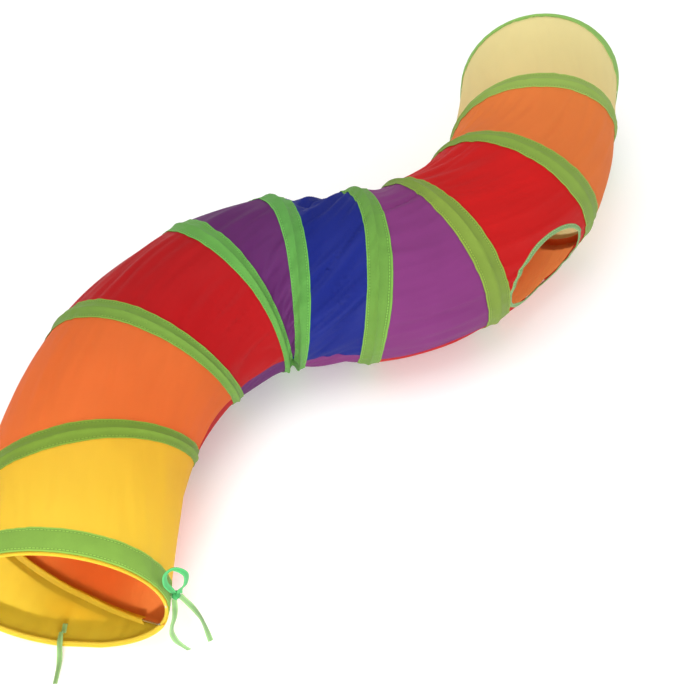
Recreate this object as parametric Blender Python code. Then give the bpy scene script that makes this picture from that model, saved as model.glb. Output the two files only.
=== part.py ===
"""Pop-up play tunnel: nine coloured panels on one spring-wire coil, lying in an S.

Metres, +Z up, resting on Z = 0, with the origin under the middle of the whole S.
A place on the tube is given by s, the distance along the centre line from the near
mouth, and by an angle in degrees, clockwise from the top as seen from the near mouth.
Body 0 is the near mouth. Body n begins at fold plane n, where coil turn n ends.
"""

import math

import bmesh
import bpy
from mathutils import Matrix, Vector

# Tube
TUBE_RADIUS = 0.125
FACETS = 20
FACET = 360.0 / FACETS

# One entry for each panel: its length along the centre line, and its bend to the right
LENGTHS = (0.158, 0.188, 0.162, 0.102, 0.111, 0.094, 0.158, 0.142, 0.154)
BENDS = (0.0, 26.0, 27.0, 28.0, 0.0, -26.0, -23.0, -25.0, 0.0)
COLOURS = ("yellow", "orange", "red", "purple", "blue", "purple", "red", "orange", "cream")
TURNS = len(LENGTHS)
STATIONS = tuple(sum(LENGTHS[:n]) for n in range(TURNS + 1))
TUBE_LENGTH = STATIONS[-1]

# How far the wire leans at each fold plane: forwards at its right side, and back at its top
RIGHT_LEANS = (0.0, 0.007, -0.011, 0.005, -0.004, -0.011, -0.003, -0.008, -0.008, 0.010)
TOP_LEANS = (0.0, -0.040, -0.012, -0.042, 0.028, 0.030, 0.022, -0.009, 0.018, 0.0235)

# Where each panel's sewn end seam lies, low on the right; the coil leaves the near ring there
SEAM_ANGLES = (112.0, 112.0, 101.0, 97.0, 100.0, 106.0, 114.0, 119.0, 121.0)
# Where the coil joins the far ring, under the tube
FAR_JOIN_ANGLE = 245.0
FULL_TURN = 360.0

# Layers, as depths below the tube's outer radius
TAPE_THICKNESS = 0.0015
PANEL_DEPTH = 0.0024
PANEL_THICKNESS = 0.0012
WIRE_DEPTH = 0.0066
WIRE_RADIUS = 0.00125
GAP = 0.0003

# Tape and bindings
TAPE_WIDTH = 0.030
TAPE_ROWS = 2
PANEL_ROWS = 4
LIP = 0.005
TURN_GAP_ANGLE = 0.2
SHORTEST_EDGE = 0.006

# Peephole in the far red panel
PEEPHOLE_PANEL = 7
PEEPHOLE_S = 0.9125
PEEPHOLE_ANGLE = 89.0
PEEPHOLE_HALF_LENGTH = 0.083
PEEPHOLE_HALF_HEIGHT = 0.056
PEEPHOLE_BINDING_WIDTH = 0.006
PEEPHOLE_SEGMENTS = 24
PEEPHOLE_BINDING_THICKNESS = 0.0018

# Crimp ferrules on the two mouth rings
FERRULE_INNER_RADIUS = 0.0016
FERRULE_WALL = 0.0007
FERRULE_LENGTH = 0.018
FERRULE_SEGMENTS = 12
NEAR_FERRULE_ANGLE = 90.0
FAR_FERRULE_ANGLE = 270.0
RING_INSET = 0.004

# Ribbon ties
RIBBON_WIDTH = 0.0065
RIBBON_POINT_SPACING = 2.4 * RIBBON_WIDTH
TAB_LENGTH = 0.012
TAB_HALF_ANGLE = 1.6
TAB_THICKNESS = 0.0015
TAB_START = 0.014
SIDE_TIE_ANGLE = 90.0
FLOOR_TIE_ANGLE = 191.0
FLOOR_TAB_DEPTH = 0.0085
KNOT_SIZE = 0.011

# Routes of the ribbons, from the near mouth's centre on the floor
TIE_ROUTES = {
    "tie_bow_loop": (
        (0.1290, 0.0190, 0.1278),
        (0.1283, 0.0160, 0.1400),
        (0.1250, 0.0115, 0.1660),
        (0.1280, 0.0110, 0.1900),
        (0.1385, 0.0140, 0.1990),
        (0.1490, 0.0170, 0.1820),
        (0.1455, 0.0190, 0.1520),
        (0.1378, 0.0190, 0.1370),
        (0.1362, 0.0190, 0.1278),
    ),
    "tie_tail_front": (
        (0.1290, 0.0165, 0.1150),
        (0.1292, 0.0110, 0.1060),
        (0.1292, 0.0010, 0.1000),
        (0.1260, -0.0070, 0.0900),
        (0.1240, -0.0080, 0.0730),
        (0.1270, -0.0080, 0.0520),
        (0.1330, -0.0070, 0.0350),
        (0.1390, -0.0060, 0.0220),
    ),
    "tie_tail_side": (
        (0.1345, 0.0220, 0.1150),
        (0.1390, 0.0215, 0.1050),
        (0.1470, 0.0195, 0.0880),
        (0.1550, 0.0170, 0.0640),
        (0.1595, 0.0140, 0.0360),
        (0.1630, 0.0110, 0.0120),
    ),
    "tie_tail_floor": (
        (-0.0236, 0.0130, 0.0150),
        (-0.0236, 0.0040, 0.0148),
        (-0.0232, -0.0050, 0.0132),
        (-0.0222, -0.0160, 0.0072),
        (-0.0215, -0.0270, 0.0042),
        (-0.0220, -0.0500, 0.0038),
    ),
}

# Surface finishes: colour, roughness, metallic
FINISHES = {
    "yellow": ((0.86, 0.66, 0.12), 0.55, 0.0),
    "orange": ((0.84, 0.34, 0.13), 0.55, 0.0),
    "red": ((0.62, 0.06, 0.07), 0.55, 0.0),
    "purple": ((0.28, 0.09, 0.28), 0.55, 0.0),
    "blue": ((0.05, 0.08, 0.42), 0.5, 0.0),
    "cream": ((0.85, 0.80, 0.45), 0.55, 0.0),
    "green_tape": ((0.22, 0.45, 0.10), 0.7, 0.0),
    "sage_binding": ((0.25, 0.42, 0.22), 0.7, 0.0),
    "ribbon": ((0.10, 0.36, 0.16), 0.6, 0.0),
    "spring_steel": ((0.50, 0.50, 0.52), 0.35, 1.0),
    "ferrule_steel": ((0.62, 0.62, 0.62), 0.3, 1.0),
}


def clear_scene():
    for obj in list(bpy.data.objects):
        bpy.data.objects.remove(obj, do_unlink=True)


def material(node, finish):
    colour, roughness, metallic = FINISHES[finish]
    made = bpy.data.materials.new(node + "_finish")
    made.use_nodes = True
    shader = made.node_tree.nodes["Principled BSDF"]
    shader.inputs["Base Color"].default_value = (*colour, 1.0)
    shader.inputs["Roughness"].default_value = roughness
    shader.inputs["Metallic"].default_value = metallic
    return made


# Centre line: straight panels and arcs, in plan


def heading_vector(heading):
    return Vector((math.sin(heading), math.cos(heading), 0.0))


def right_vector(heading):
    return Vector((math.cos(heading), -math.sin(heading), 0.0))


def arc_radius(index):
    """Signed radius of a panel's bend; its centre is that far to the right."""
    return LENGTHS[index] / math.radians(BENDS[index])


def advance(place, heading, index, along):
    """The place and heading reached by going that far along one panel."""
    if BENDS[index] == 0.0:
        return place + heading_vector(heading) * along, heading
    radius = arc_radius(index)
    centre = place + right_vector(heading) * radius
    turned = heading + along / radius
    return centre - right_vector(turned) * radius, turned


def fold_planes():
    """Centre and heading of each of the ten fold planes."""
    place, heading = Vector((0.0, 0.0, AXIS_HEIGHT)), 0.0
    planes = [(place, heading)]
    for index in range(TURNS):
        place, heading = advance(place, heading, index, LENGTHS[index])
        planes.append((place, heading))
    return planes


def centre_line(s):
    """Centre and heading at s, going straight on past both ends."""
    index = 0
    while index < TURNS - 1 and s > STATIONS[index + 1]:
        index += 1
    place, heading = PLANES[index]
    return advance(place, heading, index, s - STATIONS[index])


def facet_radius(radius, angle):
    """Distance from the axis to the flat-sided tube, at an angle."""
    off_centre = (angle + FACET / 2) % FACET - FACET / 2
    return radius * math.cos(math.radians(FACET / 2)) / math.cos(math.radians(off_centre))


def outward(heading, angle):
    turn = math.radians(angle)
    return right_vector(heading) * math.sin(turn) + Vector((0, 0, math.cos(turn)))


def tube_point(s, angle, radius):
    place, heading = centre_line(s)
    return place + outward(heading, angle) * facet_radius(radius, angle)


AXIS_HEIGHT = TUBE_RADIUS * math.cos(math.radians(FACET / 2))
PLANES = fold_planes()


# The coil: turn n climbs from fold plane n - 1 to fold plane n


def lean(place, angle):
    """Lean of the wire at an angle, where place counts fold planes."""
    low = min(int(place), TURNS - 1)
    part = place - low
    right = RIGHT_LEANS[low] * (1 - part) + RIGHT_LEANS[low + 1] * part
    top = TOP_LEANS[low] * (1 - part) + TOP_LEANS[low + 1] * part
    turn = math.radians(angle)
    return right * math.sin(turn) + top * (math.cos(turn) - 1)


def turn_span(turn):
    """First and last angle of a coil turn."""
    first = SEAM_ANGLES[0] if turn == 1 else 0.0
    last = FAR_JOIN_ANGLE if turn == TURNS else FULL_TURN
    return first, last


def coil(turn, angle):
    """Distance along the tube of a coil turn, at an angle."""
    first, last = turn_span(turn)
    part = (angle - first) / (last - first)
    return STATIONS[turn - 1] + part * LENGTHS[turn - 1] + lean(turn - 1 + part, angle)


def near_rim(angle):
    return lean(0, angle)


def far_rim(angle):
    return TUBE_LENGTH + lean(TURNS, angle)


def below_panel(panel, angle):
    """Near edge of a panel; its angle runs from the seam line up to one turn past it."""
    if panel == 1:
        return near_rim(angle)
    if angle < FULL_TURN:
        return coil(panel - 1, angle)
    return coil(panel, angle - FULL_TURN)


def above_panel(panel, angle):
    """Far edge of a panel."""
    if angle < FULL_TURN:
        if panel == TURNS and angle > FAR_JOIN_ANGLE:
            return far_rim(angle)
        return coil(panel, angle)
    if panel == TURNS:
        return far_rim(angle - FULL_TURN)
    return coil(panel + 1, angle - FULL_TURN)


# Making meshes


def angles_between(first, last):
    """Both ends and every facet corner between them."""
    corner = math.ceil((first - FACET / 2) / FACET + 1e-6) * FACET + FACET / 2
    angles = [first]
    while corner < last - 1e-6:
        if corner > first + 1e-6:
            angles.append(corner)
        corner += FACET
    return angles + [last]


def put(node, mesh_or_curve, finish, body):
    """Makes a node's object, with its origin on its body's fold axis."""
    obj = bpy.data.objects.new(node, mesh_or_curve)
    bpy.context.collection.objects.link(obj)
    obj.data.materials.append(material(node, finish))
    obj.parent = PIVOTS[body]
    return obj


def solidify(obj, thickness):
    wall = obj.modifiers.new("wall", "SOLIDIFY")
    wall.thickness = thickness
    wall.offset = -1.0
    wall.use_even_offset = True


def mesh_from(node, bm, body):
    bmesh.ops.translate(bm, verts=bm.verts, vec=-PIVOTS[body].location)
    mesh = bpy.data.meshes.new(node)
    bm.to_mesh(mesh)
    bm.free()
    return mesh


def strip(node, finish, body, angles, low, high, rows, radius, thickness):
    """A band of cloth round the tube, between two edges given as functions of the angle."""
    bm = bmesh.new()
    columns = len(angles) - 1
    bmesh.ops.create_grid(bm, x_segments=columns, y_segments=rows, size=1.0)
    for vert in bm.verts:
        angle = angles[round((vert.co.x + 1) / 2 * columns)]
        part = (vert.co.y + 1) / 2
        s = low(angle) * (1 - part) + high(angle) * part
        vert.co = tube_point(s, angle, radius)
    bmesh.ops.remove_doubles(bm, verts=bm.verts, dist=1e-5)
    obj = put(node, mesh_from(node, bm, body), finish, body)
    solidify(obj, thickness)
    return obj


def wire(node, body, path, closed=False):
    """Round wire along a path, as a bevelled curve."""
    curve = bpy.data.curves.new(node, "CURVE")
    curve.dimensions = "3D"
    curve.bevel_depth = WIRE_RADIUS
    curve.bevel_resolution = 1
    curve.use_fill_caps = not closed
    spline = curve.splines.new("POLY")
    spline.points.add(len(path) - 1)
    for point, place in zip(spline.points, path):
        point.co = (*(place - PIVOTS[body].location), 1.0)
    spline.use_cyclic_u = closed
    return put(node, curve, "spring_steel", body)


# Fold axes


def fold_axis(turn):
    """Where a panel folds about: the middle of its bend, or its near end if it is straight."""
    place, heading = PLANES[turn - 1]
    if BENDS[turn - 1] == 0.0:
        return place.copy()
    centre = place + right_vector(heading) * arc_radius(turn - 1)
    return Vector((centre.x, centre.y, 0.0))


def make_pivots():
    frame = bpy.data.objects.new("tunnel_frame", None)
    bpy.context.collection.objects.link(frame)
    pivots = []
    for body in range(TURNS + 1):
        pivot = bpy.data.objects.new(f"body_{body}_axis", None)
        pivot.location = fold_axis(body) if body else (0.0, 0.0, 0.0)
        pivot.parent = frame
        bpy.context.collection.objects.link(pivot)
        pivots.append(pivot)
    return frame, pivots


# Sub-parts


def mouth_ring(node, body, rim, inset):
    angles = angles_between(FACET / 2, FULL_TURN + FACET / 2)[:-1]
    radius = TUBE_RADIUS - WIRE_DEPTH
    path = [tube_point(rim(angle) + inset, angle, radius) for angle in angles]
    wire(node, body, path, closed=True)


def ferrule(node, body, s, angle):
    """Crimped sleeve round the middle of one flat of a mouth ring."""
    bm = bmesh.new()
    outer = FERRULE_INNER_RADIUS + FERRULE_WALL
    bmesh.ops.create_cone(
        bm,
        cap_ends=False,
        segments=FERRULE_SEGMENTS,
        radius1=outer,
        radius2=outer,
        depth=FERRULE_LENGTH,
    )
    radius = TUBE_RADIUS - WIRE_DEPTH
    before = tube_point(s(angle - FACET / 4), angle - FACET / 4, radius)
    after = tube_point(s(angle + FACET / 4), angle + FACET / 4, radius)
    turn = (after - before).to_track_quat("Z", "Y").to_matrix().to_4x4()
    bmesh.ops.transform(bm, matrix=turn, verts=bm.verts)
    bmesh.ops.translate(bm, vec=(before + after) / 2, verts=bm.verts)
    bmesh.ops.recalc_face_normals(bm, faces=bm.faces)
    obj = put(node, mesh_from(node, bm, body), "ferrule_steel", body)
    solidify(obj, FERRULE_WALL)


def coil_wire(turn):
    first, last = turn_span(turn)
    clear = 4 * WIRE_RADIUS + GAP
    if turn == 1:
        while coil(1, first) < RING_INSET + clear:
            first += 1.0
    if turn == TURNS:
        while coil(TURNS, last) > far_rim(last) - RING_INSET - clear:
            last -= 1.0
    angles = angles_between(first + TURN_GAP_ANGLE, last - TURN_GAP_ANGLE)
    radius = TUBE_RADIUS - WIRE_DEPTH
    path = [tube_point(coil(turn, angle), angle, radius) for angle in angles]
    wire(f"coil_wire_turn_{turn}", turn, path)


def coil_tape(turn):
    """Green tape sewn over one coil turn; it stops short of the two mouth bindings."""
    near_stop = LIP + TAPE_WIDTH + GAP

    def halfway(angle, other):
        return (coil(turn, angle) + coil(other, angle)) / 2

    def low(angle):
        stop = near_stop
        if turn > 1 and angle > turn_span(turn - 1)[0]:
            stop = max(stop, halfway(angle, turn - 1) + GAP)
        return max(coil(turn, angle) - TAPE_WIDTH / 2, stop)

    def high(angle):
        stop = far_rim(angle) - far_binding_width(angle) - GAP
        if turn < TURNS and angle < turn_span(turn + 1)[1]:
            stop = min(stop, halfway(angle, turn + 1) - GAP)
        return min(coil(turn, angle) + TAPE_WIDTH / 2, stop)

    first, last = turn_span(turn)
    while high(first) - low(first) < SHORTEST_EDGE:
        first += 1.0
    while high(last) - low(last) < SHORTEST_EDGE:
        last -= 1.0
    angles = angles_between(first + TURN_GAP_ANGLE, last - TURN_GAP_ANGLE)
    name = f"coil_tape_turn_{turn}"
    strip(name, "green_tape", turn, angles, low, high, TAPE_ROWS, TUBE_RADIUS, TAPE_THICKNESS)


def panel(number):
    """One colour of cloth, one turn long from the seam line round to itself."""

    def low(angle):
        return below_panel(number, angle) + (GAP if number > 1 else 0.0)

    def high(angle):
        at_rim = number == TURNS and angle > FAR_JOIN_ANGLE
        return above_panel(number, angle) - (0.0 if at_rim else GAP)

    first = SEAM_ANGLES[number - 1]
    last = SEAM_ANGLES[min(number, TURNS - 1)] + FULL_TURN
    while high(first) - low(first) < SHORTEST_EDGE:
        first += 1.0
    angles = angles_between(first + TURN_GAP_ANGLE, last - TURN_GAP_ANGLE)
    name = f"panel_{number}_{COLOURS[number - 1]}"
    radius = TUBE_RADIUS - PANEL_DEPTH
    finish = COLOURS[number - 1]
    return strip(name, finish, number, angles, low, high, PANEL_ROWS, radius, PANEL_THICKNESS)


def far_tail_panel():
    """End of the cream strip, under the tube between the last coil turn and the far ring."""
    last = FAR_JOIN_ANGLE
    while far_rim(last) - coil(TURNS, last) < SHORTEST_EDGE:
        last -= 1.0
    angles = angles_between(SEAM_ANGLES[-1] + TURN_GAP_ANGLE, last)
    radius = TUBE_RADIUS - PANEL_DEPTH
    strip(
        "panel_9_cream_tail",
        "cream",
        TURNS,
        angles,
        lambda angle: coil(TURNS, angle) + GAP,
        far_rim,
        PANEL_ROWS,
        radius,
        PANEL_THICKNESS,
    )


def far_binding_width(angle):
    """The far binding is rolled over the rim: narrow at the top, wide at the right."""
    turn = math.radians(angle)
    return 0.022 + 0.006 * math.sin(turn) - 0.017 * math.cos(turn)


def mouth_binding(node, body, low, high):
    angles = angles_between(FACET / 2, FULL_TURN + FACET / 2)
    strip(node, "green_tape", body, angles, low, high, TAPE_ROWS, TUBE_RADIUS, TAPE_THICKNESS)


def peephole_place(forward, upward):
    """The s and angle of a point near the peephole's middle, on the outside of the bend."""
    angle = PEEPHOLE_ANGLE - math.degrees(math.asin(upward / TUBE_RADIUS))
    sideways = TUBE_RADIUS * math.sin(math.radians(angle))
    stretch = 1 - sideways / arc_radius(PEEPHOLE_PANEL - 1)
    return PEEPHOLE_S + forward / stretch, angle


def cut_peephole(panel_obj):
    bm = bmesh.new()
    bmesh.ops.create_cone(
        bm,
        cap_ends=True,
        segments=PEEPHOLE_SEGMENTS,
        radius1=1.0,
        radius2=1.0,
        depth=1.0,
    )
    place, heading = centre_line(PEEPHOLE_S)
    out = outward(heading, PEEPHOLE_ANGLE)
    along = heading_vector(heading)
    size = Vector((PEEPHOLE_HALF_LENGTH, PEEPHOLE_HALF_HEIGHT, TUBE_RADIUS))
    bmesh.ops.scale(bm, vec=size, verts=bm.verts)
    turn = Matrix((along, out.cross(along), out)).transposed().to_4x4()
    bmesh.ops.transform(bm, matrix=turn, verts=bm.verts)
    bmesh.ops.translate(bm, vec=place + out * TUBE_RADIUS, verts=bm.verts)
    cutter = bpy.data.objects.new(
        "peephole_cutter", mesh_from("peephole_cutter", bm, PEEPHOLE_PANEL)
    )
    bpy.context.collection.objects.link(cutter)
    cutter.parent = PIVOTS[PEEPHOLE_PANEL]
    cutter.hide_render = True
    cutter.display_type = "WIRE"
    cut = panel_obj.modifiers.new("peephole", "BOOLEAN")
    cut.operation = "DIFFERENCE"
    cut.solver = "EXACT"
    cut.object = cutter


def peephole_binding():
    """Narrow folded tape round the inside of the peephole's edge."""
    bm = bmesh.new()
    bmesh.ops.create_circle(bm, cap_ends=False, segments=PEEPHOLE_SEGMENTS, radius=1.0)
    outer = list(bm.verts)
    made = bmesh.ops.extrude_edge_only(bm, edges=bm.edges)["geom"]
    inner = [item for item in made if isinstance(item, bmesh.types.BMVert)]
    clearance = 4 * GAP
    for ring, inset in ((outer, clearance), (inner, clearance + PEEPHOLE_BINDING_WIDTH)):
        for vert in ring:
            forward = vert.co.x * (PEEPHOLE_HALF_LENGTH - inset)
            upward = vert.co.y * (PEEPHOLE_HALF_HEIGHT - inset)
            s, angle = peephole_place(forward, upward)
            vert.co = tube_point(s, angle, TUBE_RADIUS - PANEL_DEPTH + GAP)
    bmesh.ops.recalc_face_normals(bm, faces=bm.faces)
    face_outwards(bm, centre_line(PEEPHOLE_S)[0])
    node = "peephole_binding"
    obj = put(node, mesh_from(node, bm, PEEPHOLE_PANEL), "sage_binding", PEEPHOLE_PANEL)
    solidify(obj, PEEPHOLE_BINDING_THICKNESS)


def face_outwards(bm, inside):
    """Turns an open sheet's faces away from a point."""
    bm.normal_update()
    facing = sum(face.normal.dot(face.calc_center_median() - inside) for face in bm.faces)
    if facing < 0:
        bmesh.ops.reverse_faces(bm, faces=bm.faces)


# Ribbon ties


def catmull_rom(a, b, c, d, part):
    two, three = part * part, part * part * part
    bent = (2 * a - 5 * b + 4 * c - d) * two + (3 * b - a - 3 * c + d) * three
    return 0.5 * (2 * b + (c - a) * part + bent)


def smooth_route(points):
    """Evenly spaced points on a smooth curve through a route."""
    route = [Vector(point) for point in points]
    ends = [2 * route[0] - route[1], *route, 2 * route[-1] - route[-2]]
    fine = []
    for index in range(len(route) - 1):
        for step in range(16):
            fine.append(catmull_rom(*ends[index : index + 4], step / 16))
    fine.append(route[-1])
    total = sum((b - a).length for a, b in zip(fine, fine[1:]))
    count = max(4, round(total / RIBBON_POINT_SPACING))
    spaced, walked, target = [fine[0]], 0.0, total / count
    for a, b in zip(fine, fine[1:]):
        walked += (b - a).length
        if walked >= target - 1e-9 and len(spaced) < count:
            spaced.append(b)
            target += total / count
    return spaced + [fine[-1]]


def ribbon(node, route):
    curve = bpy.data.curves.new(node, "CURVE")
    curve.dimensions = "3D"
    curve.bevel_depth = RIBBON_WIDTH / 2
    curve.bevel_resolution = 2
    curve.use_fill_caps = True
    points = smooth_route(route)
    spline = curve.splines.new("POLY")
    spline.points.add(len(points) - 1)
    for point, place in zip(spline.points, points):
        point.co = (*(place - PIVOTS[0].location), 1.0)
    put(node, curve, "ribbon", 0)


def tie_tab(node, angle, radius):
    """Short doubled ribbon stitched flat inside or outside the near mouth."""
    strip(
        node,
        "ribbon",
        0,
        [angle - TAB_HALF_ANGLE, angle + TAB_HALF_ANGLE],
        lambda _: TAB_START,
        lambda _: TAB_START + TAB_LENGTH,
        1,
        radius,
        TAB_THICKNESS,
    )


def tie_knot():
    bm = bmesh.new()
    bmesh.ops.create_cube(bm, size=KNOT_SIZE)
    bmesh.ops.bevel(
        bm,
        geom=list(bm.edges),
        offset=KNOT_SIZE * 0.3,
        segments=1,
        profile=0.5,
        affect="EDGES",
        material=-1,
    )
    bmesh.ops.translate(bm, vec=KNOT_PLACE, verts=bm.verts)
    put("tie_knot", mesh_from("tie_knot", bm, 0), "ribbon", 0)


KNOT_PLACE = Vector((AXIS_HEIGHT + TAB_THICKNESS + 2 * GAP + KNOT_SIZE / 2, 0.019, 0.121))


def main():
    mouth_ring("near_mouth_wire_ring", 0, near_rim, RING_INSET)
    ferrule("near_ring_ferrule", 0, lambda a: near_rim(a) + RING_INSET, NEAR_FERRULE_ANGLE)
    mouth_binding("near_mouth_binding", 0, lambda a: LIP, lambda a: LIP + TAPE_WIDTH)
    for turn in range(1, TURNS + 1):
        coil_wire(turn)
        coil_tape(turn)
        cloth = panel(turn)
        if turn == PEEPHOLE_PANEL:
            cut_peephole(cloth)
    far_tail_panel()
    peephole_binding()
    mouth_ring("far_mouth_wire_ring", TURNS, far_rim, -RING_INSET)
    ferrule("far_ring_ferrule", TURNS, lambda a: far_rim(a) - RING_INSET, FAR_FERRULE_ANGLE)
    mouth_binding(
        "far_mouth_binding", TURNS, lambda a: far_rim(a) - far_binding_width(a), far_rim
    )
    tie_tab("tie_tab_side", SIDE_TIE_ANGLE, TUBE_RADIUS + GAP + TAB_THICKNESS)
    tie_tab("tie_tab_floor", FLOOR_TIE_ANGLE, TUBE_RADIUS - FLOOR_TAB_DEPTH)
    tie_knot()
    for node, route in TIE_ROUTES.items():
        ribbon(node, route)


def centre_frame():
    """Moves everything so that the origin is under the middle of the tunnel's own box."""
    bpy.context.view_layer.update()
    graph = bpy.context.evaluated_depsgraph_get()
    corners = []
    for obj in bpy.data.objects:
        if obj.type == "EMPTY" or obj.hide_render or obj.name in (*TIE_ROUTES, "tie_knot"):
            continue
        shown = obj.evaluated_get(graph)
        corners += [shown.matrix_world @ Vector(corner) for corner in shown.bound_box]
    for axis in (0, 1):
        places = [corner[axis] for corner in corners]
        FRAME.location[axis] = -(min(places) + max(places)) / 2
    bpy.context.view_layer.update()


clear_scene()
FRAME, PIVOTS = make_pivots()
main()
centre_frame()
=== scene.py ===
# %% [markdown]
# # A pop-up play tunnel for small pets
# The tunnel is one long strip of thin nylon taffeta, wound round and round a spring-wire coil.
# Green tape is sewn over every turn of the wire, and the strip changes colour once a turn.
# The engineering model gives us its sizes and its joints. Here we make what a person sees.

# %% Load the frame
import math

import bmesh
import bpy
from mathutils import Matrix, Vector, noise


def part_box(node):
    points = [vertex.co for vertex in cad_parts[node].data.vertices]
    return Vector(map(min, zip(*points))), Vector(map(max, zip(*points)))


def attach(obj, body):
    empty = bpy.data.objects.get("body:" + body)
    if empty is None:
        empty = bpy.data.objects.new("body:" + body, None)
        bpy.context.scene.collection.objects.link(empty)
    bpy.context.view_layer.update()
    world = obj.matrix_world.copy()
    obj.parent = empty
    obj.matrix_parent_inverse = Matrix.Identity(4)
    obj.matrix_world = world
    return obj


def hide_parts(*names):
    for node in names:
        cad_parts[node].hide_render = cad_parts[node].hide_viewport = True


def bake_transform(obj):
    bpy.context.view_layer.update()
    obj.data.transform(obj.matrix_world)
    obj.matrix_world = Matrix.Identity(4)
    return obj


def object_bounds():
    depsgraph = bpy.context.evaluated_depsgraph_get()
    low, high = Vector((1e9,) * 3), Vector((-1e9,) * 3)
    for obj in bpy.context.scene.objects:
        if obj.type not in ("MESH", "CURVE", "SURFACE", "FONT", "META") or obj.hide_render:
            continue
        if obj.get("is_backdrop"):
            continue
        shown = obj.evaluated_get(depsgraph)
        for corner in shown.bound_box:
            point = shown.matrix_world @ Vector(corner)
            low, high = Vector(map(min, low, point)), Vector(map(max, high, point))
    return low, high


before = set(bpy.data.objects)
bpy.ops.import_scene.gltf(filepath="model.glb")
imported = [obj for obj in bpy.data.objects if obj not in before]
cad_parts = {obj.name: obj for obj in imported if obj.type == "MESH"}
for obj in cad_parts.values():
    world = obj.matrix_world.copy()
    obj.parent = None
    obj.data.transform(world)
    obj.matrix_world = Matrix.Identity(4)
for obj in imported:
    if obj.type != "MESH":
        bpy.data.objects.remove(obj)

frame_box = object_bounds()
print("frame box", [tuple(round(x, 3) for x in corner) for corner in frame_box])

# %% [markdown]
# ## Sizes
# A place on the tunnel is given by s, the distance along its centre line from the near mouth,
# and by an angle, clockwise from the top as seen from the near mouth. The centre line is made
# of straight stretches and arcs, one for each colour. These sizes repeat the engineering model's.

# %% Driving sizes
TUBE_RADIUS = 0.1242
AXIS_HEIGHT = 0.12346
FLOOR_GAP = 0.0003
FLOOR_LAYER = 0.0013
LENGTHS = (0.158, 0.188, 0.162, 0.102, 0.111, 0.094, 0.158, 0.142, 0.154)
BENDS = (0.0, 26.0, 27.0, 28.0, 0.0, -26.0, -23.0, -25.0, 0.0)
COLOURS = ("yellow", "orange", "red", "purple", "blue", "purple", "red", "orange", "cream")
TURNS = len(LENGTHS)
STATIONS = tuple(sum(LENGTHS[:n]) for n in range(TURNS + 1))
TUBE_LENGTH = STATIONS[-1]
RIGHT_LEANS = (0.0, 0.007, -0.011, 0.005, -0.004, -0.011, -0.003, -0.008, -0.008, 0.010)
TOP_LEANS = (0.0, -0.040, -0.012, -0.042, 0.028, 0.030, 0.022, -0.009, 0.018, 0.0235)
SEAM_ANGLES = (112.0, 112.0, 101.0, 97.0, 100.0, 106.0, 114.0, 119.0, 121.0)
FAR_JOIN_ANGLE = 245.0
FULL_TURN = 360.0
LIP = 0.005
TAPE_WIDTH = 0.030
RING_INSET = 0.004
WIRE_DEPTH = 0.0052
WIRE_RADIUS = 0.00125

# %% [markdown]
# ## Finding the tunnel in the frame
# Nothing is typed in twice: the near binding's box tells us where the near mouth stands,
# and the centre line grows from there.

# %% Centre line
binding_low, binding_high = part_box("near_mouth_binding")
MOUTH = Vector(((binding_low.x + binding_high.x) / 2, binding_low.y - LIP, 0.0))


def heading_vector(heading):
    return Vector((math.sin(heading), math.cos(heading), 0.0))


def right_vector(heading):
    return Vector((math.cos(heading), -math.sin(heading), 0.0))


def arc_radius(index):
    return LENGTHS[index] / math.radians(BENDS[index])


def advance(place, heading, index, along):
    """The place and heading reached by going that far along one stretch."""
    if BENDS[index] == 0.0:
        return place + heading_vector(heading) * along, heading
    radius = arc_radius(index)
    centre = place + right_vector(heading) * radius
    turned = heading + along / radius
    return centre - right_vector(turned) * radius, turned


PLANES = [(MOUTH + Vector((0.0, 0.0, AXIS_HEIGHT)), 0.0)]
for index in range(TURNS):
    PLANES.append(advance(*PLANES[-1], index, LENGTHS[index]))


def stretch_at(s):
    index = 0
    while index < TURNS - 1 and s > STATIONS[index + 1]:
        index += 1
    return index


def tube_point(s, angle, radius):
    """A point round the tunnel, flattened a little where the cloth lies on the floor."""
    index = stretch_at(s)
    place, heading = advance(*PLANES[index], index, s - STATIONS[index])
    turn = math.radians(angle)
    out = right_vector(heading) * math.sin(turn) + Vector((0, 0, math.cos(turn)))
    point = place + out * radius
    point.z = max(point.z, FLOOR_GAP + max(0.0, TUBE_RADIUS + FLOOR_LAYER - radius))
    return point


print("far mouth at", tuple(round(x, 3) for x in PLANES[-1][0]))

# %% [markdown]
# ## Camera
# The camera looks down steeply from above the near mouth, as a person does who holds it
# over a tunnel lying on the floor. It stands where the near mouth says, with no lens shift.

# %% Camera
camera = bpy.data.objects.new("camera", bpy.data.cameras.new("camera"))
bpy.context.scene.collection.objects.link(camera)
camera.data.sensor_width = 36.0
camera.data.lens = 62.46
camera.location = MOUTH + Vector((0.3623, -0.5995, 1.4379))
camera.rotation_euler = (math.radians(90.0 - 53.11), 0.0, math.radians(2.41))
bpy.context.scene.camera = camera

# %% [markdown]
# ## Shader sums
# A material is a small program. Wrapping a socket in a class lets us write it as one:
# `1 - mask * 0.4` then adds its Math nodes by itself.


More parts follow.
